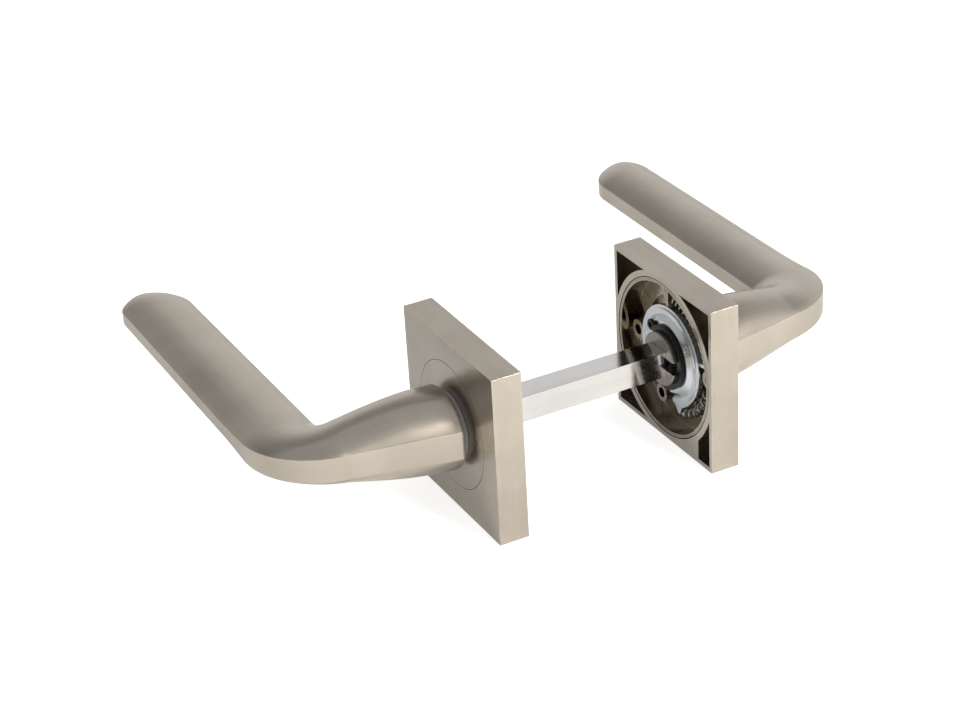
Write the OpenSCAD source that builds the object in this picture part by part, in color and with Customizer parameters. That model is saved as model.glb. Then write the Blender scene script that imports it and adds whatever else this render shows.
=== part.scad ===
// Pair of sprung door levers on square roses, joined by a square spindle.
// +X runs along the grips to their tips, +Y out of the door on the outside, +Z up.
// The origin is on the spindle axis, at the back face of the outside rose.

/* [Rose] */
// Side of the square rose cover
rose_w = 52; // [51:0.5:60]
// Depth of the cover
rose_t = 9; // [9:0.1:11]
// Thickness of the cover's side walls
cover_wall = 1.4; // [1.2:0.1:1.6]
// Thickness of the cover's front wall
cover_front = 1.5; // [1.2:0.1:1.6]
// Radius of the round bore in the cover
bore_r = 24.5; // [24.3:0.1:24.6]
// Thickness of the web between the bore and the corner pockets
web_t = 1.8; // [1.4:0.1:2]
// Radius of the disc that shows flush in the cover's front
disc_r = 18.8; // [18:0.1:19.5]

/* [Door] */
// Distance between the two roses, which is the door's thickness
door_gap = 60; // [40:1:60]
// Distance between the two fixing bosses of a rose
fixing_pitch = 38; // [38:0.5:39]

/* [Spindle] */
// Width across the flats of the square spindle
spindle_w = 8; // [7.6:0.1:8]
// Clearance on each side of the spindle in its socket
spindle_fit = 0.1; // [0.05:0.01:0.1]
// Depth of the spindle's end in the outside lever, from the rose's back
spindle_out_end = 32; // [28:1:33]
// Depth of the spindle's end in the inside lever, from the rose's back
spindle_in_end = 13; // [10:1:13]
// Depth of the socket in each lever
socket_end = 34; // [34:0.5:35]

/* [Lever] */
// Distance from the spindle axis to the tip of the grip
lever_len = 118.5; // [100:0.5:130]
// Distance from the rose's back to the middle of the grip
grip_out = 53.6; // [52:0.1:58]
// Half of the grip's width at the bend
grip_hw = 10.7; // [10:0.1:11]
// Half of the grip's width at the tip
tip_hw = 10.1; // [9.8:0.1:10.6]
// Half of the grip's thickness
grip_ht = 5.6; // [5:0.1:6]
// Half of the neck's width at the rose
neck_hw = 12.55; // [12.3:0.05:12.8]
// Half of the neck's height at the rose
neck_ht = 12.3; // [12:0.1:12.8]
// Radius of the bend along the middle of the lever
bend_r = 14; // [13.5:0.1:14.5]
// Radius of the lever's shaft in the bearing
shaft_r = 8.2; // [8.1:0.05:8.2]

/* [Springs] */
// Radius of the circle that the springs lie on
spring_r = 18; // [18:0.05:18.1]
// Mean radius of a spring's coils
coil_r = 1.3; // [1.2:0.05:1.3]
// Diameter of the spring wire
wire_d = 0.65; // [0.6:0.01:0.7]

/* [Hidden] */

$fn = 96;
eps = 0.01;

// Radial gap of the running fits, and gap round the disc
fit = 0.05;
disc_gap = 0.15;

nickel = [0.60, 0.57, 0.53];
dark_nickel = [0.34, 0.31, 0.28];
zinc = [0.66, 0.70, 0.73];
bright_steel = [0.80, 0.81, 0.82];
black_steel = [0.10, 0.11, 0.13];
grey_nylon = [0.45, 0.46, 0.46];

// Depths from the rose's back face, positive away from the door
boss_end = -1.3;
groove_y = [0.2, 1.3];
circlip_y = [0.25, 1.25];
cam_y = [1.35, 2.85];
cam_rim_y = [2.55, 4.05];
bead_y = 2.05;
tab_end = 5.7;
washer_y = [2.95, 3.35];
hub_y = 3.45;
post_y = 2;
root_y = 4.4;
stop_y = 2.6;
spring_y = 4.4;
shoulder_y = 6.25;
floor_y = 7.3;
base_rim_y = 0.1;
flange_y = [rose_t + fit, rose_t + 1.7];
neck_y = rose_t + 1.9;

// Radii about the spindle axis
bush_in = shaft_r + fit;
bush_out = 9.5;
hub_in = bush_out + fit;
hub_out = 12;
flange_r = 10.3;
groove_r = 7.6;
circlip_in = 7.65;
circlip_out = 9.8;
lug_centre = 10.4;
cam_r = 15.4;
dish_r = [10.9, 12.35, 12.7];
cut_r = 10.6;
bead_r = [12.95, 14.4];
tab_r = [14, 18.6];
base_r = bore_r - 0.3;
rim_in = base_r - 1;
boss_r = 3;
tap_r = 1.65;
stop_r = 15.9;
circlip_lug_r = 1.7;
circlip_eye_r = 0.85;

// Angles about the spindle axis, from +X towards +Z
upper_stop = [84, 88];
upper_tab = [166, 170];
lower_tab = [252.5, 256.5];
boss_half_angle = 10;
cam_cut = [262, 345];
circlip_lug_angle = 48;

// A sector between two angles, out to radius r
module sector(a0, a1, r) {
    steps = max(1, ceil((a1 - a0) / 30));
    polygon(concat([[0, 0]], [
        for (i = [0 : steps])
            let (a = a0 + (a1 - a0) * i / steps)
            r / cos((a1 - a0) / steps / 2) * [cos(a), sin(a)]
    ]));
}

// Part of a ring between two radii and two angles
module ring_part(r, a) {
    intersection() {
        difference() {
            circle(r[1]);
            circle(r[0]);
        }
        sector(a[0], a[1], r[1] + 1);
    }
}

// A 2D shape raised from depth y[0] to depth y[1]
module raise(y) {
    translate([0, 0, y[0]]) linear_extrude(y[1] - y[0]) children();
}

// Half of the handle set is drawn with X along the grip, Y up and Z away from the door
module outside() {
    mirror([0, 1, 0]) rotate([90, 0, 0]) children();
}

module inside() {
    translate([0, -door_gap, 0]) rotate([90, 0, 0]) children();
}

// ---- Spindle ----

module spindle() {
    chamfer = 0.6;
    length = spindle_out_end + door_gap + spindle_in_end;
    color(bright_steel)
        intersection() {
            translate([-spindle_w / 2, -door_gap - spindle_in_end, -spindle_w / 2])
                cube([spindle_w, length, spindle_w]);
            translate([0, spindle_out_end, 0]) rotate([90, 0, 0]) {
                reach = spindle_w / sqrt(2);
                rotate_extrude()
                    polygon([
                        [0, 0], [reach - chamfer, 0], [reach + eps, chamfer],
                        [reach + eps, length - chamfer], [reach - chamfer, length], [0, length]
                    ]);
            }
        }
}

// ---- Lever ----

// The middle line leaves the rose leaning by neck_lean, bends and runs along the grip
neck_lean = 8.1;
neck_x = 0.25;
bend_turn = 90 - neck_lean;
bend_tangent = bend_r * tan(bend_turn / 2);
corner_x = neck_x + (grip_out - neck_y) * tan(neck_lean);
neck_run = (grip_out - neck_y) / cos(neck_lean) - bend_tangent;
bend_run = bend_r * bend_turn * PI / 180;
grip_x = corner_x + bend_tangent;
grip_run = lever_len - grip_x;
lever_run = neck_run + bend_run + grip_run;

function smooth(runs, s) =
    let (t = min(1, max(0, (s - runs[0]) / (runs[1] - runs[0]))))
    t * t * (3 - 2 * t);
function mix(a, b, t) = a + (b - a) * t;

// Heading of the middle line at run s, in degrees from +Y (out of the door) towards +X
function heading(s) = neck_lean + bend_turn * min(1, max(0, (s - neck_run) / bend_run));

// Point of the middle line at run s, as [x, depth]
function middle(s) =
    s < neck_run ? [neck_x + s * sin(neck_lean), neck_y + s * cos(neck_lean)] :
    s < neck_run + bend_run ?
        let (a = heading(s))
        [grip_x - bend_r * cos(a), grip_out - bend_r + bend_r * sin(a)] :
    [grip_x + s - neck_run - bend_run, grip_out];

// Half-width in the bend, and half-heights of the flat sides: outer at the rose, in the bend and
// on the grip, inner at the rose and on the grip
bend_hw = 9.9;
outer_hts = [4.3, 3.8, 2];
inner_hts = [0.25, 2.35];

// Runs over which the height, the two flat sides, the crown and the tilt of the section change
height_runs = [5, 51];
outer_runs = [34, 66];
inner_runs = [34, 44];
crown_runs = [18, 55];
tilt_runs = [0, 20];
crown_power = 0.88;

// Half-width, half-height and the half-heights of the two flat sides at run s
end_round = 1;
function end_shrink(s) = s < end_round ? end_round - sqrt(end_round ^ 2 - (end_round - s) ^ 2) : 0;
function side_hw(s) =
    s < neck_run ? mix(neck_hw, bend_hw, s / neck_run) :
    s < neck_run + bend_run ?
        mix(bend_hw, grip_hw, smooth([neck_run, neck_run + bend_run], s)) :
    mix(grip_hw, tip_hw, (s - neck_run - bend_run) / grip_run);
function full_ht(s) = mix(neck_ht, grip_ht, smooth(height_runs, s));
function outer_flat(s) =
    let (neck_flat = mix(outer_hts[0], outer_hts[1], min(1, s / outer_runs[0])))
    mix(neck_flat, outer_hts[2], smooth(outer_runs, s));
function inner_flat(s) = mix(inner_hts[0], inner_hts[1], smooth(inner_runs, s));

// How far the rounded corners of the tip cut in from the sides, at distance d from the end
tip_outer_r = 7;
tip_inner_r = 12;
function corner_cut(d, r) = d < r ? r - sqrt(r ^ 2 - (r - d) ^ 2) : 0;

// Height of the section over its middle plane, at u from -1 (outer side) to 1 (inner side)
function section_z(u, ht, flat, crown) =
    let (
        k = sqrt(1 - (flat / ht) ^ 2),
        round_z = ht * sqrt(max(0, 1 - (k * u) ^ 2)),
        crown_z = flat + (ht - flat) * (1 - u * u) ^ crown_power
    )
    mix(round_z, crown_z, crown);

// One ring of points round the lever at run s: over the top and back underneath. The first ring
// lies parallel to the rose, and the next ones turn square to the middle line
side_steps = 16;
function lever_ring(s) =
    let (
        d = lever_run - s,
        hw = side_hw(s) - end_shrink(s),
        outer = hw - corner_cut(d, tip_outer_r),
        inner = hw - corner_cut(d, tip_inner_r),
        narrow = (outer + inner) / (2 * hw),
        flats = [outer_flat(s), inner_flat(s)],
        ht = mix(max(flats[0], flats[1]), full_ht(s) - end_shrink(s), narrow),
        crown = smooth(crown_runs, s),
        c = middle(s),
        a = heading(s) * smooth(tilt_runs, s),
        across = [cos(a), -sin(a)],
        top = [
            for (i = [0 : side_steps])
                let (
                    u = -cos(180 * i / side_steps),
                    w = mix(-outer, inner, (u + 1) / 2),
                    z = section_z(u, ht, u < 0 ? flats[0] : flats[1], crown)
                )
                [c[0] + w * across[0], z, c[1] + w * across[1]]
        ]
    )
    concat(top, [for (i = [side_steps : -1 : 0]) [top[i][0], -top[i][1], top[i][2]]]);

// Runs of the rings: close together at the neck's end, in the bend and at the tip
neck_rings = 7;
bend_rings = 12;
grip_rings = 5;
tip_rings = 10;
grip_start = neck_run + bend_run;
tip_start = lever_run - tip_inner_r;
lever_runs = concat(
    [0, 0.3 * end_round, end_round],
    [for (i = [1 : neck_rings]) mix(end_round, neck_run, i / neck_rings)],
    [for (i = [1 : bend_rings]) neck_run + bend_run * i / bend_rings],
    [for (i = [1 : grip_rings]) mix(grip_start, tip_start, i / grip_rings)],
    [for (i = [1 : tip_rings]) tip_start + tip_inner_r * sin(90 * i / tip_rings) - 2 * eps]
);

module lever_body() {
    rings = [for (s = lever_runs) lever_ring(s)];
    n = len(rings[0]);
    last = len(rings) - 1;
    points = [for (r = rings, p = r) p];
    walls = [
        for (j = [0 : last - 1], i = [0 : n - 1])
            let (k = (i + 1) % n)
            each [
                [j * n + i, (j + 1) * n + k, (j + 1) * n + i],
                [j * n + i, j * n + k, (j + 1) * n + k]
            ]
    ];
    near_end = [for (i = [n - 1 : -1 : 0]) i];
    far_end = [for (i = [0 : n - 1]) last * n + i];
    polyhedron(points, concat(walls, [near_end, far_end]), convexity = 4);
}

// Casting of neck, grip and shaft, with the spindle socket, the circlip groove and the tab slots
module lever() {
    socket = spindle_w + 2 * spindle_fit;
    slot_w = 4;
    shaft_root = 3;
    color(nickel)
        difference() {
            union() {
                lever_body();
                raise([boss_end, neck_y + shaft_root]) circle(shaft_r);
            }
            raise([boss_end - 1, socket_end]) square(socket, center = true);
            raise([boss_end - 1, cam_y[1] + fit])
                square([2 * shaft_r + 2, slot_w], center = true);
            raise(groove_y)
                difference() {
                    circle(shaft_r + 1);
                    circle(groove_r);
                }
        }
}

// ---- Rose cover ----

// Half of the cover's inside width, and the radius that its corner pockets keep outside
pocket_half = rose_w / 2 - cover_wall;
web_r = bore_r + web_t;
narrow_pocket_x = 18.6;
screw_x = -13.5;
screw_y = 4;
screw_r = 1.5;

module corner_pocket(reach) {
    difference() {
        translate([reach, 0]) square([pocket_half - reach, pocket_half]);
        circle(web_r);
    }
}

// Square cap with a round bore, a hole for the disc, corner pockets and a set screw hole
module rose_cover() {
    pocket_end = rose_t - cover_front;
    screw_hole = 10;
    color(nickel)
        difference() {
            raise([0, rose_t]) square(rose_w, center = true);
            raise([-1, pocket_end]) circle(bore_r);
            raise([-1, rose_t + 1]) circle(disc_r + disc_gap);
            raise([-1, pocket_end]) {
                corner_pocket(0);
                mirror([0, 1]) corner_pocket(0);
                mirror([1, 0]) corner_pocket(0);
                mirror([1, 0]) mirror([0, 1]) corner_pocket(narrow_pocket_x);
            }
            translate([screw_x, -rose_w / 2 - 1, screw_y]) rotate([-90, 0, 0])
                cylinder(r = screw_r + fit, h = screw_hole);
        }
}

// Set screw that locks the cover on the base, with a hexagon socket
module cover_screw() {
    point = 0.6;
    inner_x = abs(screw_x) - screw_r + point;
    tip = -sqrt(base_r ^ 2 - inner_x ^ 2) - 0.1;
    head = -rose_w / 2 + 0.2;
    length = tip - head;
    socket_r = 0.87;
    socket_depth = 1.6;
    color(black_steel)
        translate([screw_x, head, screw_y]) rotate([-90, 0, 0])
            difference() {
                rotate_extrude()
                    polygon([
                        [0, 0], [screw_r, 0], [screw_r, length - point],
                        [screw_r - point, length], [0, length]
                    ]);
                translate([0, 0, -1]) cylinder(r = socket_r, h = socket_depth + 1, $fn = 6);
            }
}

// ---- Rose base ----

rib_angles = [-62, -28, 30, 62, 128];
post_at = [4.1, -14];
post_r = 2.7;
post_hole_r = 1.6;

// Round casting with a rim, a hub for the bush, two tapped bosses, ribs and the spring stop
module rose_base() {
    rib_w = 1.2;
    rib_drop = 0.1;
    root = 1;
    hole_end = floor_y - 0.5;
    color(dark_nickel)
        difference() {
            union() {
                raise([base_rim_y, floor_y])
                    difference() {
                        circle(base_r);
                        circle(rim_in);
                    }
                raise([shoulder_y, floor_y + 0.1])
                    difference() {
                        circle(base_r);
                        circle(disc_r - root);
                    }
                raise([floor_y, rose_t]) circle(disc_r);
                raise([hub_y, rose_t]) circle(hub_out);
                raise([root_y, floor_y + eps]) ring_part([hub_out - root, rim_in], upper_stop);
                raise([stop_y, floor_y + eps]) ring_part([stop_r, rim_in + root / 2], upper_stop);
                for (a = rib_angles)
                    raise([shoulder_y - rib_drop, floor_y + eps])
                        rotate(a) translate([hub_out - root, -rib_w / 2])
                            square([rim_in - hub_out + 1.5 * root, rib_w]);
                for (x = [-1, 1])
                    translate([x * fixing_pitch / 2, 0]) raise([hub_y, floor_y + eps]) circle(boss_r);
                translate(post_at) raise([post_y, floor_y + eps]) circle(post_r);
            }
            raise([0, rose_t + 1]) circle(hub_in);
            for (x = [-1, 1])
                translate([x * fixing_pitch / 2, 0]) raise([0, hole_end]) circle(tap_r);
            translate(post_at) raise([0, hole_end]) circle(post_hole_r);
        }
}

// ---- Bearing and cam ----

// Plain bush with the flange that shows between the neck and the disc
module bearing_bush() {
    color(grey_nylon)
        rotate_extrude()
            polygon([
                [bush_in, hub_y], [bush_out, hub_y], [bush_out, flange_y[0]],
                [flange_r, flange_y[0]], [flange_r, flange_y[1]], [bush_in, flange_y[1]]
            ]);
}

module thrust_washer() {
    color(bright_steel)
        raise(washer_y)
            difference() {
                circle(hub_out - 0.2);
                circle(shaft_r + 2 * fit);
            }
}

// Pointed lug on the cam plate's rim, over the lower tab
module cam_lug() {
    polygon([[0, 0], [-12.4, -8.8], [-9.6, -12.3], [-5.8, -15], [-5, -17.2], [-4, -17.2], [-2.4, -14.8]]);
}

// Dished steel plate keyed to the shaft's slots, with a ring bead and two tabs bent down to push
// the springs. It is cut back low on the +X side, where it turns past the post of the base
module cam_plate() {
    key_w = 3.8;
    key_in = 5.7;
    tab_top = cam_rim_y[1] - 0.5;
    cone_y = [cam_rim_y[0] + 0.05, cam_rim_y[1] - 0.15];
    color(zinc) {
        difference() {
            union() {
                rotate_extrude()
                    polygon([
                        [shaft_r + fit, cam_y[0]], [dish_r[0], cam_y[0]],
                        [dish_r[2], cone_y[0]], [dish_r[2], cone_y[1]], [dish_r[1], cone_y[1]],
                        [dish_r[1], cam_y[1]], [shaft_r + fit, cam_y[1]]
                    ]);
                raise(cam_rim_y)
                    difference() {
                        union() {
                            circle(cam_r);
                            cam_lug();
                        }
                        circle(dish_r[1]);
                    }
                raise([bead_y, cam_rim_y[0] + eps])
                    difference() {
                        circle(bead_r[1]);
                        circle(bead_r[0]);
                    }
            }
            raise([0, tab_end])
                difference() {
                    sector(cam_cut[0], cam_cut[1], cam_r + 2);
                    circle(cut_r);
                }
        }
        raise(cam_y)
            for (a = [0, 180])
                rotate(a) translate([key_in, -key_w / 2]) square([dish_r[0] - key_in - 1, key_w]);
        raise([tab_top, tab_end]) {
            ring_part(tab_r, upper_tab);
            ring_part(tab_r, lower_tab);
        }
    }
}

// Snap ring in the shaft's groove, open towards +X, with two pierced lugs
module circlip() {
    color(black_steel)
        raise(circlip_y)
            difference() {
                union() {
                    difference() {
                        circle(circlip_out);
                        circle(circlip_in);
                        sector(-circlip_lug_angle, circlip_lug_angle, circlip_out + 2);
                    }
                    for (a = [-circlip_lug_angle, circlip_lug_angle])
                        rotate(a) translate([lug_centre, 0]) circle(circlip_lug_r);
                }
                circle(circlip_in);
                for (a = [-circlip_lug_angle, circlip_lug_angle])
                    rotate(a) translate([lug_centre, 0]) circle(circlip_eye_r);
            }
}

// ---- Springs ----

// A coil spring bent round the spindle axis from angle a[0] to angle a[1]
module arc_spring(a, turns) {
    turn_steps = 12;
    sides = 6;
    steps = turns * turn_steps;
    wire_r = wire_d / 2;
    angle_pad = wire_r / spring_r * 180 / PI;
    function at(i) = mix(a[0] + angle_pad, a[1] - angle_pad, i / steps);
    rings = [
        for (i = [0 : steps])
            let (turn = 360 * i / turn_steps, around = at(i))
            [
                for (j = [0 : sides - 1])
                    let (
                        b = 360 * j / sides,
                        r = coil_r + wire_r * cos(b),
                        out = spring_r + r * cos(turn),
                        shift = wire_r * sin(b)
                    )
                    [
                        out * cos(around) + shift * sin(around),
                        out * sin(around) - shift * cos(around),
                        spring_y + r * sin(turn)
                    ]
            ]
    ];
    points = [for (r = rings, p = r) p];
    walls = [
        for (i = [0 : steps - 1], j = [0 : sides - 1])
            let (k = (j + 1) % sides)
            each [
                [i * sides + j, (i + 1) * sides + k, (i + 1) * sides + j],
                [i * sides + j, i * sides + k, (i + 1) * sides + k]
            ]
    ];
    first_end = [for (j = [sides - 1 : -1 : 0]) j];
    last_end = [for (j = [0 : sides - 1]) steps * sides + j];
    polyhedron(points, concat(walls, [first_end, last_end]), convexity = 10);
}

spring_gap = 0.5;

module upper_return_spring() {
    color(bright_steel)
        arc_spring([upper_stop[1] + spring_gap, upper_tab[0] - spring_gap], 12);
}

module lower_return_spring() {
    color(bright_steel)
        arc_spring([180 + boss_half_angle + spring_gap, lower_tab[0] - spring_gap], 6);
}

// ---- The assembly ----

spindle();
outside() lever();  // outside_lever
outside() rose_cover();  // outside_rose_cover
outside() rose_base();  // outside_rose_base
outside() bearing_bush();  // outside_bearing_bush
outside() thrust_washer();  // outside_thrust_washer
outside() cam_plate();  // outside_cam_plate
outside() circlip();  // outside_circlip
outside() upper_return_spring();  // outside_upper_return_spring
outside() lower_return_spring();  // outside_lower_return_spring
outside() cover_screw();  // outside_cover_screw
inside() lever();  // inside_lever
inside() rose_cover();  // inside_rose_cover
inside() rose_base();  // inside_rose_base
inside() bearing_bush();  // inside_bearing_bush
inside() thrust_washer();  // inside_thrust_washer
inside() cam_plate();  // inside_cam_plate
inside() circlip();  // inside_circlip
inside() upper_return_spring();  // inside_upper_return_spring
inside() lower_return_spring();  // inside_lower_return_spring
inside() cover_screw();  // inside_cover_screw
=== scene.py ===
"""Looks for a pair of sprung door levers on square roses, joined by a square spindle."""
import math

import bmesh
import bpy
from mathutils import Matrix, Vector


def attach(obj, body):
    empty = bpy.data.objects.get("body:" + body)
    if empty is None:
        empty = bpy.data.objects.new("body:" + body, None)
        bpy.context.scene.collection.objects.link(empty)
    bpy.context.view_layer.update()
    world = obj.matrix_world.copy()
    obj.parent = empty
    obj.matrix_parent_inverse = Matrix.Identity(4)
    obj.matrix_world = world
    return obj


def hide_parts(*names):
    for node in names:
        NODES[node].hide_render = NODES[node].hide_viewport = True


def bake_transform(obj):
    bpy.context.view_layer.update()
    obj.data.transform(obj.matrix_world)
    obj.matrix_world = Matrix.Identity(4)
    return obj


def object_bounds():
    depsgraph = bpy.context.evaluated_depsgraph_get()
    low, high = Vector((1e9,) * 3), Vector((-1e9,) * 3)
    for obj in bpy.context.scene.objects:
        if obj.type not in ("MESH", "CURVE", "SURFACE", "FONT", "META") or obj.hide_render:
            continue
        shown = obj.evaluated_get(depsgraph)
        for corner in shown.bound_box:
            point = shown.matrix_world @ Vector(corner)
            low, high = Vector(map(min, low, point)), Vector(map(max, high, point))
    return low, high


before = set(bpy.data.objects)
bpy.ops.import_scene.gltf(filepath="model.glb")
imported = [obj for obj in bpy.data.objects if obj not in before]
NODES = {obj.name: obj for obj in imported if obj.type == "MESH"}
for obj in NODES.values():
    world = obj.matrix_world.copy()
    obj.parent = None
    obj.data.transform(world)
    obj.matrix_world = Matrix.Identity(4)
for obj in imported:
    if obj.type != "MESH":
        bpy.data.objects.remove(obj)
cad_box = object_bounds()
scene = bpy.context.scene

MM = 0.001
ROSE_T = 9.0  # depth of a rose, mm
DOOR = 60.0  # distance between the roses' backs, mm
SIDES = ("outside", "inside")


# ---- Placing ----

def put(side, x, depth, z):
    """Half-handle coordinates (mm: along the grip, away from the door, up) to the frame (m)."""
    y = depth if side == "outside" else -DOOR - depth
    return Vector((x * MM, y * MM, z * MM))


def mix(a, b, t):
    return a + (b - a) * t


def smooth(a, b, s):
    """Eases from 0 at a to 1 at b."""
    t = min(1.0, max(0.0, (s - a) / (b - a)))
    return t * t * (3 - 2 * t)


def new_object(name, bm, body, material, auto):
    """A smooth-shaded piece, sharp where its faces meet at more than auto degrees."""
    bmesh.ops.recalc_face_normals(bm, faces=bm.faces)
    for f in bm.faces:
        f.smooth = True
    mesh = bpy.data.meshes.new(name)
    bm.to_mesh(mesh)
    bm.free()
    mesh.set_sharp_from_angle(angle=math.radians(auto))
    mesh.materials.append(material)
    obj = bpy.data.objects.new(name, mesh)
    scene.collection.objects.link(obj)
    if body:
        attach(obj, body)
    return obj


def add(obj, kind, **values):
    """Adds a modifier with these settings."""
    m = obj.modifiers.new(kind.lower(), kind)
    for k, v in values.items():
        setattr(m, k, v)
    return m


# ---- Materials ----

# Agreement of the rounded and the true normal where an edge begins to show, and where it is full
EDGE_TURN = (0.985, 0.90)


class Tree:
    """A small helper for writing node trees."""

    def __init__(self, name):
        self.mat = bpy.data.materials.new(name)
        self.mat.use_nodes = True
        self.nodes = self.mat.node_tree.nodes
        self.links = self.mat.node_tree.links
        self.shader = self.nodes["Principled BSDF"]

    def node(self, kind, inputs=None, **values):
        n = self.nodes.new("ShaderNode" + kind)
        for k, v in values.items():
            setattr(n, k, v)
        for k, v in (inputs or {}).items():
            if isinstance(v, bpy.types.NodeSocket):
                self.links.new(v, n.inputs[k])
            else:
                n.inputs[k].default_value = v
        return n

    def math(self, op, a, b=0.0, clamp=False):
        return self.node("Math", {0: a, 1: b}, operation=op, use_clamp=clamp).outputs[0]

    def noise(self, vector, scale, detail=2.0, rough=0.5):
        return self.node("TexNoise", {
            "Vector": vector, "Scale": scale, "Detail": detail, "Roughness": rough,
        }).outputs["Fac"]

    def ramp(self, value, low, high):
        """0 at low, 1 at high, and straight between them."""
        n = self.node("MapRange", {
            "Value": value, "From Min": low, "From Max": high, "To Min": 0.0, "To Max": 1.0,
        })
        return n.outputs["Result"]

    def colour(self, fac, a, b):
        n = self.node("Mix", data_type="RGBA")
        for i, v in ((0, fac), (6, a), (7, b)):
            if isinstance(v, bpy.types.NodeSocket):
                self.links.new(v, n.inputs[i])
            elif i == 0:
                n.inputs[0].default_value = v
            else:
                n.inputs[i].default_value = (*v, 1.0)
        return n.outputs[2]

    def edges(self, radius):
        """1 where the surface turns sharply, from the rounded and the true normal."""
        round_n = self.node("Bevel", {"Radius": radius}, samples=6).outputs["Normal"]
        true_n = self.node("NewGeometry").outputs["Normal"]
        dot = self.node("VectorMath", {0: round_n, 1: true_n}, operation="DOT_PRODUCT")
        return self.ramp(dot.outputs["Value"], *EDGE_TURN)


# Scales of the noises (per metre, the broad grain as a share of the fine), and the grain's depth
BROAD_GRAIN = 0.18
CLOUD_SCALE = 55.0
BLOTCH_SCALE = 260.0
PIT_SCALE = 1400.0
GRAIN_DEPTH = 0.00006


def metal(name, light, dark, rough, spread=0.08, stretch=(1, 1, 1), grain=900.0, bump=0.05,
          wear_and_highlight_amount=0.35, wear_and_highlight_radius=0.0006, run=None, spots=0.0, metallic=1.0, tops=None,
          fine_tone=0.30, cloud_tone=0.45):
    """Metal with brushed or cast grain, cloudy colour, uneven gloss, bump, and lighter edges: part
    wear, part painted highlight.

    stretch is the grain's direction, and tops another one for the faces that look up or down.
    run names a mesh attribute that holds the coordinates along a lever."""
    t = Tree(name)
    if run:
        base = t.node("Attribute", attribute_name=run).outputs["Vector"]
    else:
        base = t.node("TexCoord").outputs["Object"]
    lines = t.node("Mapping", {"Vector": base, "Scale": stretch}).outputs["Vector"]
    if tops:
        normal = t.node("TexCoord").outputs["Normal"]
        level = t.node("SeparateXYZ", {0: normal}).outputs[2]
        flat = t.ramp(t.math("ABSOLUTE", level), 0.65, 0.75)
        other = t.node("Mapping", {"Vector": base, "Scale": tops}).outputs["Vector"]
        both = t.node("Mix", data_type="VECTOR")
        t.links.new(flat, both.inputs[0])
        t.links.new(lines, both.inputs[4])
        t.links.new(other, both.inputs[5])
        lines = both.outputs[1]
    fine = t.noise(lines, grain, 3.0, 0.65)
    broad = t.noise(lines, grain * BROAD_GRAIN, 2.0, 0.5)
    cloud = t.noise(base, CLOUD_SCALE, 3.0, 0.55)
    blotch = t.noise(base, BLOTCH_SCALE, 2.0, 0.6)
    edge = t.edges(wear_and_highlight_radius)

    tone = t.math("MULTIPLY", fine, fine_tone)
    tone = t.math("ADD", tone, t.math("MULTIPLY", broad, 1 - fine_tone - cloud_tone))
    tone = t.math("ADD", tone, t.math("MULTIPLY", cloud, cloud_tone))
    tone = t.ramp(tone, 0.32, 0.68)
    colour = t.colour(tone, dark, light)
    # Lighter colour along sharp edges: partly real wear, partly a painted highlight line along
    # creases and rims
    wear_and_highlight_mask = t.math("MULTIPLY", edge, t.ramp(blotch, 0.35, 0.62))
    wear_and_highlight_colour = tuple(min(1, c * 1.35 + 0.05) for c in light)
    colour = t.colour(t.math("MULTIPLY", wear_and_highlight_mask, wear_and_highlight_amount), colour, wear_and_highlight_colour)
    if spots:
        pits = t.ramp(t.noise(base, PIT_SCALE, 2.0, 0.5), 0.66, 0.74)
        pit_colour = tuple(c * 0.3 for c in dark)
        colour = t.colour(t.math("MULTIPLY", pits, spots), colour, pit_colour)
    t.links.new(colour, t.shader.inputs["Base Color"])

    gloss = t.math("MULTIPLY", t.math("SUBTRACT", fine, 0.5), spread * 1.6)
    gloss = t.math("ADD", gloss, t.math("MULTIPLY", t.math("SUBTRACT", cloud, 0.5), spread * 1.4))
    gloss = t.math("ADD", gloss, t.math("MULTIPLY", wear_and_highlight_mask, -0.08))
    t.links.new(t.math("ADD", gloss, rough, clamp=True), t.shader.inputs["Roughness"])

    height = t.math("ADD", t.math("MULTIPLY", fine, 0.7), t.math("MULTIPLY", broad, 0.3))
    relief = t.node("Bump", {"Height": height, "Strength": bump, "Distance": GRAIN_DEPTH})
    t.links.new(relief.outputs["Normal"], t.shader.inputs["Normal"])
    t.shader.inputs["Metallic"].default_value = metallic
    return t.mat


NICKEL = (0.560, 0.520, 0.466)
NICKEL_DARK = (0.462, 0.424, 0.370)
# The grip's strong, narrow edge lightening is mostly a painted highlight line along the crease
# between crown and flat sides
grip_nickel = metal("satin_nickel_grip", NICKEL, NICKEL_DARK, 0.25, 0.04, (0.012, 1.0, 1.0), 5200.0,
                    0.05, wear_and_highlight_amount=0.75, wear_and_highlight_radius=0.00035, run="run", fine_tone=0.12,
                    cloud_tone=0.70)
rose_nickel = metal("satin_nickel_rose", NICKEL, NICKEL_DARK, 0.26, 0.04, (1.0, 1.0, 0.015), 4800.0,
                    0.05, wear_and_highlight_amount=0.5, wear_and_highlight_radius=0.0005, tops=(0.015, 1.0, 1.0), fine_tone=0.12,
                    cloud_tone=0.70)
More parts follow.
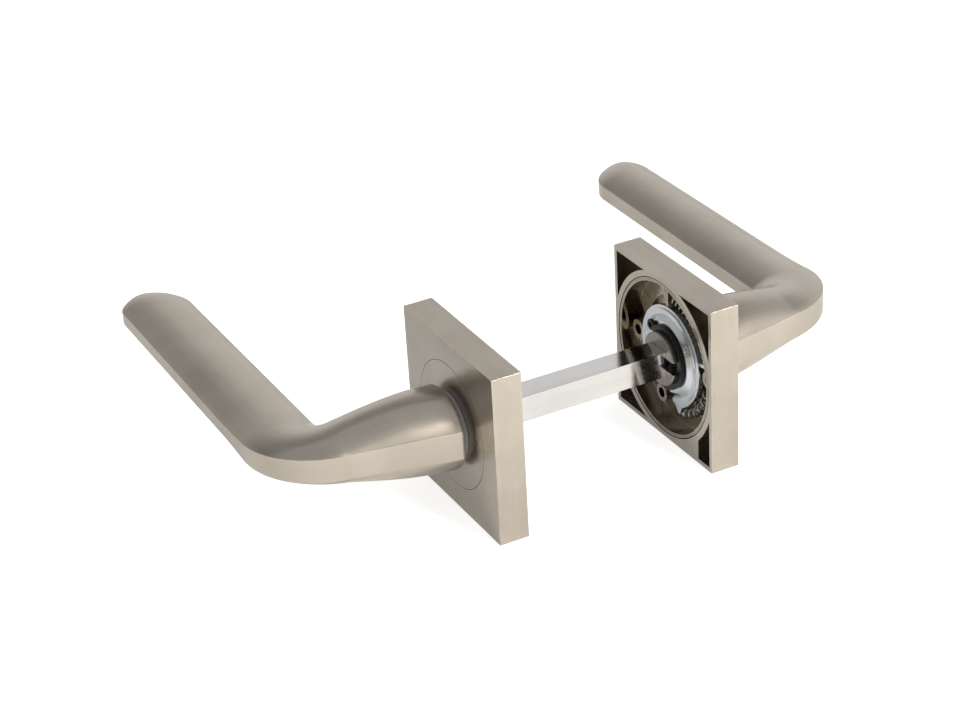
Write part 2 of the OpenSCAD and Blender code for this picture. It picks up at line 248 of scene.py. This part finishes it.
# Inside of the rose base: a duller, browner casting finish, with its dark tone made darker as
# painted shade of the hollow
casting_nickel_and_shade = metal("plated_casting_and_shade", (0.47, 0.425, 0.36), (0.26, 0.23, 0.185), 0.14, 0.14,
                    (1, 1, 1), 380.0, 0.50, wear_and_highlight_amount=0.9, spots=0.35)
shaft_nickel = metal("plated_shaft", (0.36, 0.335, 0.30), (0.22, 0.205, 0.18), 0.30, 0.14,
                     (1, 1, 1), 700.0, 0.5, wear_and_highlight_amount=0.7, spots=0.4)
bush_nylon = metal("grey_nylon_bush", (0.42, 0.42, 0.41), (0.33, 0.33, 0.325), 0.42, 0.06,
                   (1, 1, 1), 900.0, 0.12, wear_and_highlight_amount=0.2, metallic=0.0)
ground_steel = metal("ground_steel", (0.84, 0.85, 0.86), (0.66, 0.67, 0.68), 0.11, 0.08,
                     (1.0, 0.02, 1.0), 2600.0, 0.10, wear_and_highlight_amount=0.6, spots=0.06)
plain_steel = metal("turned_steel", (0.72, 0.72, 0.72), (0.56, 0.56, 0.56), 0.22, 0.08,
                    (1, 1, 1), 1200.0, 0.2)
zinc_steel = metal("bright_zinc_plate", (0.74, 0.785, 0.83), (0.56, 0.605, 0.65), 0.20, 0.10,
                   (1, 1, 1), 620.0, 0.28, wear_and_highlight_amount=0.5)
black_steel = metal("blackened_steel", (0.045, 0.045, 0.05), (0.02, 0.02, 0.022), 0.30, 0.12,
                    (1, 1, 1), 800.0, 0.3, wear_and_highlight_amount=0.35)
wire_steel = metal("spring_wire", (0.46, 0.45, 0.43), (0.26, 0.25, 0.24), 0.24, 0.08,
                   (1, 1, 1), 1500.0, 0.15)


# ---- Levers ----

NECK_LEAN, NECK_X, NECK_DEPTH = 8.1, 0.25, 10.9
GRIP_OUT, BEND_R, LEVER_LEN = 53.6, 14.0, 118.5
BEND_TURN = 90 - NECK_LEAN
TANGENT = BEND_R * math.tan(math.radians(BEND_TURN / 2))
CORNER_X = NECK_X + (GRIP_OUT - NECK_DEPTH) * math.tan(math.radians(NECK_LEAN))
NECK_RUN = (GRIP_OUT - NECK_DEPTH) / math.cos(math.radians(NECK_LEAN)) - TANGENT
BEND_RUN = math.radians(BEND_TURN) * BEND_R
GRIP_X = CORNER_X + TANGENT
GRIP_START = NECK_RUN + BEND_RUN
LEVER_RUN = GRIP_START + LEVER_LEN - GRIP_X
TIP_OUTER, TIP_INNER = 7.0, 12.0

# Half-widths at the rose, in the bend, on the grip and at the tip
WIDTHS = (12.55, 9.9, 10.7, 10.1)
# Half-heights at the rose and on the grip
HEIGHTS = (12.3, 5.6)
# Half-heights of the flat outer side at the rose, in the bend and on the grip. The inner side has
# two, at the rose and on the grip
OUTER_FLATS = (4.3, 3.8, 2.0)
INNER_FLATS = (0.25, 2.35)
# Runs over which the height, the flat sides, the crown and the section's tilt change
HEIGHT_RUNS, OUTER_RUNS, INNER_RUNS = (5, 51), (34, 66), (34, 44)
CROWN_RUNS, TILT_RUNS = (18, 55), (0, 20)
CROWN_POWER = 0.88
# Radius of the softened edges between crown and flat sides, and the number of steps over the crown
EDGE_R = 0.17
CROWN_STEPS = 44


def heading(s):
    return math.radians(NECK_LEAN + BEND_TURN * min(1, max(0, (s - NECK_RUN) / BEND_RUN)))


def middle(s):
    if s < NECK_RUN:
        a = math.radians(NECK_LEAN)
        return NECK_X + s * math.sin(a), NECK_DEPTH + s * math.cos(a)
    if s < GRIP_START:
        a = heading(s)
        return GRIP_X - BEND_R * math.cos(a), GRIP_OUT - BEND_R + BEND_R * math.sin(a)
    return GRIP_X + s - GRIP_START, GRIP_OUT


def corner_cut(d, r):
    return r - math.sqrt(max(0, r * r - (r - d) ** 2)) if d < r else 0.0


def section(s):
    """Half of the section at run s: points (across, up) from the outer side to the inner side."""
    shrink = 1 - math.sqrt(max(0, 1 - (1 - s) ** 2)) if s < 1 else 0.0
    if s < NECK_RUN:
        hw = mix(WIDTHS[0], WIDTHS[1], s / NECK_RUN)
    elif s < GRIP_START:
        hw = mix(WIDTHS[1], WIDTHS[2], smooth(NECK_RUN, GRIP_START, s))
    else:
        hw = mix(WIDTHS[2], WIDTHS[3], (s - GRIP_START) / (LEVER_RUN - GRIP_START))
    hw -= shrink
    d = LEVER_RUN - s
    outer, inner = hw - corner_cut(d, TIP_OUTER), hw - corner_cut(d, TIP_INNER)
    narrow = (outer + inner) / (2 * hw)
    neck_flat = mix(OUTER_FLATS[0], OUTER_FLATS[1], min(1, s / OUTER_RUNS[0]))
    flat_out = mix(neck_flat, OUTER_FLATS[2], smooth(*OUTER_RUNS, s))
    flat_in = mix(*INNER_FLATS, smooth(*INNER_RUNS, s))
    top = mix(*HEIGHTS, smooth(*HEIGHT_RUNS, s)) - shrink
    ht = mix(max(flat_out, flat_in), top, narrow)
    crown = smooth(*CROWN_RUNS, s)

    def up(u):
        flat = flat_out if u < 0 else flat_in
        k = math.sqrt(max(0, 1 - (flat / ht) ** 2))
        round_z = ht * math.sqrt(max(0, 1 - (k * u) ** 2))
        crown_z = flat + (ht - flat) * max(0, 1 - u * u) ** CROWN_POWER
        return mix(round_z, crown_z, crown)

    def at(u):
        return mix(-outer, inner, (u + 1) / 2), up(u)

    width = outer + inner
    points = []
    for side, flat in ((-1, flat_out), (1, flat_in)):
        r = min(EDGE_R, flat * 0.5, width * 0.12)
        edge = -outer if side < 0 else inner
        a = (edge, flat - r)
        u_end = side * (1 - 2 * r / width)
        b = at(u_end)
        p = (edge, flat)
        arc = []
        for i in range(5):
            q = i / 4
            arc.append(tuple(
                (1 - q) ** 2 * a[j] + 2 * q * (1 - q) * p[j] + q * q * b[j] for j in (0, 1)))
        if side < 0:
            points += [(edge, max(0.0, flat - r) * 0.55)] + arc
            first = u_end
        else:
            last = u_end
            for i in range(1, CROWN_STEPS):
                t = i / CROWN_STEPS
                e = -math.cos(math.pi * t)
                points.append(at(mix(first, last, (e + 1) / 2)))
            points += arc[::-1] + [(edge, max(0.0, flat - r) * 0.55)]
    return points


def lever_mesh(side):
    """The casting of neck and grip, with the coordinates along it in the attribute run."""
    end, neck, bend, grip_n, tip = 8, 34, 44, 46, 34
    start = LEVER_RUN - TIP_INNER
    runs = [1 - math.cos(math.radians(90 * i / end)) for i in range(end + 1)]
    runs += [mix(1, NECK_RUN, i / neck) for i in range(1, neck + 1)]
    runs += [NECK_RUN + BEND_RUN * i / bend for i in range(1, bend + 1)]
    runs += [mix(GRIP_START, start, i / grip_n) for i in range(1, grip_n + 1)]
    runs += [start + TIP_INNER * math.sin(math.radians(90 * i / tip)) - 0.02
             for i in range(1, tip + 1)]
    bm = bmesh.new()
    layer = bm.verts.layers.float_vector.new("run")
    rings = []
    for s in runs:
        half = section(s)
        x, depth = middle(s)
        a = heading(s) * smooth(*TILT_RUNS, s)
        loop = [(w, z) for w, z in half] + [(w, -z) for w, z in reversed(half)]
        ring = []
        for w, z in loop:
            v = bm.verts.new(put(side, x + w * math.cos(a), depth - w * math.sin(a), z))
            v[layer] = (s * MM, w * MM, z * MM)
            ring.append(v)
        rings.append(ring)
    n = len(rings[0])
    for a, b in zip(rings, rings[1:]):
        for i in range(n):
            j = (i + 1) % n
            bm.faces.new((a[i], a[j], b[j], b[i]))
    for ring in (rings[0], rings[-1]):
        half = n // 2
        for i in range(half - 1):
            bm.faces.new((ring[i], ring[i + 1], ring[n - 2 - i], ring[n - 1 - i]))
    return bm


def lathe(bm, side, profile, steps):
    """Turns a closed profile of (radius, depth) about the spindle axis."""
    rings = []
    for i in range(steps):
        a = 2 * math.pi * i / steps
        ring = []
        for r, depth in profile:
            ring.append(bm.verts.new(put(side, r * math.cos(a), depth, r * math.sin(a))))
        rings.append(ring)
    n = len(profile)
    for i in range(steps):
        a, b = rings[i], rings[(i + 1) % steps]
        for j in range(n):
            k = (j + 1) % n
            bm.faces.new((a[j], a[k], b[k], b[j]))


def block(name, side, lo, hi):
    """A cutting block between two corners (mm, half-handle coordinates)."""
    bm = bmesh.new()
    bmesh.ops.create_cube(bm, size=1.0)
    for v in bm.verts:
        c = [mix(lo[i], hi[i], v.co[i] + 0.5) for i in range(3)]
        v.co = put(side, c[0], c[1], c[2])
    bmesh.ops.recalc_face_normals(bm, faces=bm.faces)
    mesh = bpy.data.meshes.new(name)
    bm.to_mesh(mesh)
    bm.free()
    obj = bpy.data.objects.new(name, mesh)
    scene.collection.objects.link(obj)
    return obj


SHAFT_R, GROOVE_R, CORE_R = 8.2, 7.6, 0.0005
SHAFT_ENDS = (-1.3, 12.5)  # depths
GROOVE = (0.2, 1.3)  # depths of the snap ring's groove
SHAFT_CHAMFER, GROOVE_CHAMFER = 0.25, 0.1
SOCKET_HALF, SOCKET_END = 4.1, 11.5
SLOT_HALF, SLOT_END = 2.0, 2.9
SHAFT_STEPS = 128


def shaft_mesh(side):
    """The turned shaft with the snap-ring groove, the square socket and the cam plate's slots."""
    bm = bmesh.new()
    (near, far), (top, foot), c = SHAFT_ENDS, GROOVE, GROOVE_CHAMFER
    profile = [
        (CORE_R, near), (SHAFT_R - SHAFT_CHAMFER, near), (SHAFT_R, near + SHAFT_CHAMFER),
        (SHAFT_R, top - c), (SHAFT_R - c, top), (GROOVE_R, top),
        (GROOVE_R, foot), (SHAFT_R - c, foot), (SHAFT_R, foot + c), (SHAFT_R, far), (CORE_R, far),
    ]
    lathe(bm, side, profile, SHAFT_STEPS)
    bmesh.ops.remove_doubles(bm, verts=bm.verts, dist=2e-6)
    bmesh.ops.recalc_face_normals(bm, faces=bm.faces)
    mesh = bpy.data.meshes.new(side + "_shaft_raw")
    bm.to_mesh(mesh)
    bm.free()
    obj = bpy.data.objects.new(side + "_shaft_raw", mesh)
    scene.collection.objects.link(obj)
    cuts = [
        block(side + "_cut_a", side, (-SOCKET_HALF, -3, -SOCKET_HALF),
              (SOCKET_HALF, SOCKET_END, SOCKET_HALF)),
        block(side + "_cut_b", side, (-10, -3, -SLOT_HALF), (10, SLOT_END, SLOT_HALF)),
    ]
    for cut in cuts:
        add(obj, "BOOLEAN", object=cut, operation="DIFFERENCE", solver="EXACT")
    bpy.context.view_layer.update()
    dg = bpy.context.evaluated_depsgraph_get()
    done = bpy.data.meshes.new_from_object(obj.evaluated_get(dg))
    for o in [obj, *cuts]:
        bpy.data.objects.remove(o)
    return done


for side in SIDES:
    casting = lever_mesh(side)
    shaft = shaft_mesh(side)
    grip = new_object(side + "_lever_casting", casting, side + "_handle",
                      grip_nickel, 50)
    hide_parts(side + "_lever")
    add(grip, "WEIGHTED_NORMAL", keep_sharp=True, weight=60)
    bm = bmesh.new()
    bm.from_mesh(shaft)
    layer = bm.verts.layers.float_vector.new("run")
    for v in bm.verts:
        v[layer] = (v.co.y, v.co.x, v.co.z)
    end = new_object(side + "_lever_shaft", bm, side + "_handle", shaft_nickel, 35)
    add(end, "BEVEL", width=0.00012, segments=2, limit_method="ANGLE", angle_limit=math.radians(50),
        use_clamp_overlap=True)


# ---- Springs ----

SPRING_R, SPRING_DEPTH = 18.0, 4.4  # the circle that the springs lie on
COIL_R, WIRE_R = 1.3, 0.325
TURN_STEPS, WIRE_SIDES = 28, 10
# Name, angles of the two ends (from +X towards +Z) and number of turns
SPRINGS = (("upper", 88.5, 165.5, 12), ("lower", 190.5, 252.0, 6))


def spring_mesh(side, a0, a1, turns):
    """A coil of wire bent round the spindle axis, with flat ends."""
    steps = turns * TURN_STEPS
    pad = math.degrees(WIRE_R / SPRING_R)
    bm = bmesh.new()
    rings = []
    for i in range(steps + 1):
        t = i / steps
        ease = mix(t, smooth(0, 1, t), 0.22)
        around = math.radians(mix(a0 + pad, a1 - pad, ease))
        turn = 2 * math.pi * i / TURN_STEPS
        ring = []
        for j in range(WIRE_SIDES):
            b = 2 * math.pi * j / WIRE_SIDES
            r = COIL_R + WIRE_R * math.cos(b)
            out, shift = SPRING_R + r * math.cos(turn), WIRE_R * math.sin(b)
            ring.append(bm.verts.new(put(
                side, out * math.cos(around) + shift * math.sin(around),
                SPRING_DEPTH + r * math.sin(turn),
                out * math.sin(around) - shift * math.cos(around))))
        rings.append(ring)
    for a, b in zip(rings, rings[1:]):
        for j in range(WIRE_SIDES):
            k = (j + 1) % WIRE_SIDES
            bm.faces.new((a[j], a[k], b[k], b[j]))
    bm.faces.new(rings[0])
    bm.faces.new(list(reversed(rings[-1])))
    return bm


for side in SIDES:
    for which, a0, a1, turns in SPRINGS:
        coil = new_object(f"{side}_{which}_spring_wire", spring_mesh(side, a0, a1, turns), None,
                          wire_steel, 60)
        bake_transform(coil)
        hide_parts(f"{side}_{which}_return_spring")


# ---- CAD nodes that keep their shape ----

def finish_node(name, material, bevel, segments=3, angle=32, face=None):
    """A better surface for a CAD node. face is another material, for its rose's front."""
    obj = NODES[name]
    obj.data.materials.clear()
    obj.data.materials.append(material)
    if face:
        obj.data.materials.append(face)
    for p in obj.data.polygons:
        out = abs(p.center.y / MM + DOOR / 2) - DOOR / 2
        p.material_index = 1 if face and out > ROSE_T - 0.05 else 0
    add(obj, "WELD", merge_threshold=0.000004)
    add(obj, "DECIMATE", decimate_type="DISSOLVE", angle_limit=math.radians(0.6),
        delimit={"MATERIAL"})
    add(obj, "BEVEL", width=bevel * MM, segments=segments, limit_method="ANGLE",
        angle_limit=math.radians(angle), use_clamp_overlap=True, harden_normals=False)
    add(obj, "WEIGHTED_NORMAL", keep_sharp=True, weight=70)
    return obj


finish_node("spindle", ground_steel, 0.22)
for side in SIDES:
    finish_node(side + "_rose_cover", rose_nickel, 0.30, 4)
    finish_node(side + "_rose_base", casting_nickel_and_shade, 0.22, face=rose_nickel)
    finish_node(side + "_bearing_bush", bush_nylon, 0.20)
    finish_node(side + "_thrust_washer", plain_steel, 0.08, 2)
    finish_node(side + "_cam_plate", zinc_steel, 0.34, 4)
    finish_node(side + "_circlip", black_steel, 0.14)
    finish_node(side + "_cover_screw", black_steel, 0.12, 2)


# ---- Stage, light and camera ----

def plane(name, lo, hi, z, material):
    bm = bmesh.new()
    corners = [(lo[0], lo[1]), (hi[0], lo[1]), (hi[0], hi[1]), (lo[0], hi[1])]
    bm.faces.new([bm.verts.new((x, y, z)) for x, y in corners])
    mesh = bpy.data.meshes.new(name)
    bm.to_mesh(mesh)
    bm.free()
    mesh.materials.append(material)
    obj = bpy.data.objects.new(name, mesh)
    scene.collection.objects.link(obj)
    return obj


# Glow of the white paper for the camera, and for reflections on the far and the near side
FLOOR_WHITE = 0.72
FLOOR_GLOW = (0.17, 0.31)
GLOW_EDGE = (0.03, -0.10)  # X where the far side ends and the near side begins, m
# Drop of the floor below the roses (m), and the stand under them in X and Y (mm)
FLOOR_DROP = 0.062
STAND_X, STAND_Y = (-70, 70), (-98, 38)
paper = Tree("white_paper")
grain = paper.noise(paper.node("TexCoord").outputs["Object"], 300.0, 3.0)
tint = paper.colour(grain, (0.78, 0.78, 0.785), (0.80, 0.80, 0.80))
paper.links.new(tint, paper.shader.inputs["Base Color"])
paper.shader.inputs["Roughness"].default_value = 0.9
paper.shader.inputs["Specular IOR Level"].default_value = 0.1
paper.shader.inputs["Emission Color"].default_value = (1, 1, 1, 1)
across = paper.node("SeparateXYZ", {0: paper.node("NewGeometry").outputs["Position"]}).outputs[0]
near_side = paper.ramp(across, *GLOW_EDGE)
glow = paper.math("MULTIPLY_ADD", near_side, FLOOR_GLOW[1] - FLOOR_GLOW[0])
glow.node.inputs[2].default_value = FLOOR_GLOW[0]
seen = paper.node("LightPath").outputs["Is Camera Ray"]
white = paper.node("Mix", {0: seen, 2: glow, 3: FLOOR_WHITE})
paper.links.new(white.outputs[0], paper.shader.inputs["Emission Strength"])

base_z = cad_box[0].z
floor = plane("floor", (-6, -6), (6, 6), base_z - FLOOR_DROP, paper.mat)
stand = block("stand", "outside", (STAND_X[0], STAND_Y[0], (base_z - FLOOR_DROP) / MM + 0.1),
              (STAND_X[1], STAND_Y[1], base_z / MM - 0.05))
stand.data.materials.append(paper.mat)

world = bpy.data.worlds.new("studio")
scene.world = world
world.use_nodes = True
wn, wl = world.node_tree.nodes, world.node_tree.links
back = wn["Background"]
direction = wn.new("ShaderNodeTexCoord")
split = wn.new("ShaderNodeSeparateXYZ")
wl.new(direction.outputs["Generated"], split.inputs[0])
rise = wn.new("ShaderNodeValToRGB")
wl.new(split.outputs[2], rise.inputs[0])
# Brightness of the surroundings by height (the sine of the elevation)
steps = ((0.0, 0.80), (0.38, 0.80), (0.50, 0.72), (0.66, 0.44), (1.0, 0.28))
while len(rise.color_ramp.elements) < len(steps):
    rise.color_ramp.elements.new(0.5)
for stop, (where, level) in zip(rise.color_ramp.elements, steps):
    stop.position = where
    stop.color = (level, level * 0.975, level * 0.94, 1)  # slightly warm
wl.new(rise.outputs[0], back.inputs["Color"])
# Darker on the outside (+Y) than on the inside
dim = wn.new("ShaderNodeMapRange")
dim.interpolation_type = "SMOOTHSTEP"
wl.new(split.outputs[1], dim.inputs["Value"])
for socket, value in (("From Min", -0.35), ("From Max", 0.30), ("To Min", 1.03), ("To Max", 0.60)):
    dim.inputs[socket].default_value = value
wl.new(dim.outputs["Result"], back.inputs["Strength"])


def softbox(name, where, target, size, power, colour=(1, 1, 1)):
    data = bpy.data.lights.new(name, "AREA")
    data.shape = "RECTANGLE"
    data.size, data.size_y = size
    data.energy = power
    data.color = colour
    obj = bpy.data.objects.new(name, data)
    scene.collection.objects.link(obj)
    obj.location = where
    obj.rotation_euler = (Vector(target) - Vector(where)).to_track_quat("-Z", "Y").to_euler()
    return obj


softbox("key", (-1.07, -0.50, 0.60), (0, -0.02, 0), (0.44, 0.56), 20, (1.0, 0.91, 0.79))
softbox("top", (-0.3, 0.3, 1.6), (0, 0, 0.0), (2.4, 2.4), 5)

SENSOR = 36.0  # width, mm
IMAGE_WIDTH = 970
FOCAL = 2417  # focal length in pixels of the image
EYE = (-0.5244, 0.2600, 0.3385)
LOOK = (0.783, -0.392, -0.482)
ROLL = -3.45  # degrees

camera = bpy.data.cameras.new("camera")
camera.sensor_width = SENSOR
camera.lens = FOCAL / IMAGE_WIDTH * SENSOR
camera.clip_start, camera.clip_end = 0.02, 20
eye = bpy.data.objects.new("camera", camera)
scene.collection.objects.link(eye)
forward = Vector(LOOK).normalized()
right = forward.cross(Vector((0, 0, 1))).normalized()
up = right.cross(forward)
cos_roll, sin_roll = math.cos(math.radians(ROLL)), math.sin(math.radians(ROLL))
right, up = right * cos_roll + up * sin_roll, up * cos_roll - right * sin_roll
eye.matrix_world = Matrix((
    (right.x, up.x, -forward.x, EYE[0]),
    (right.y, up.y, -forward.y, EYE[1]),
    (right.z, up.z, -forward.z, EYE[2]),
    (0, 0, 0, 1),
))
scene.camera = eye
scene.view_settings.view_transform = "Standard"
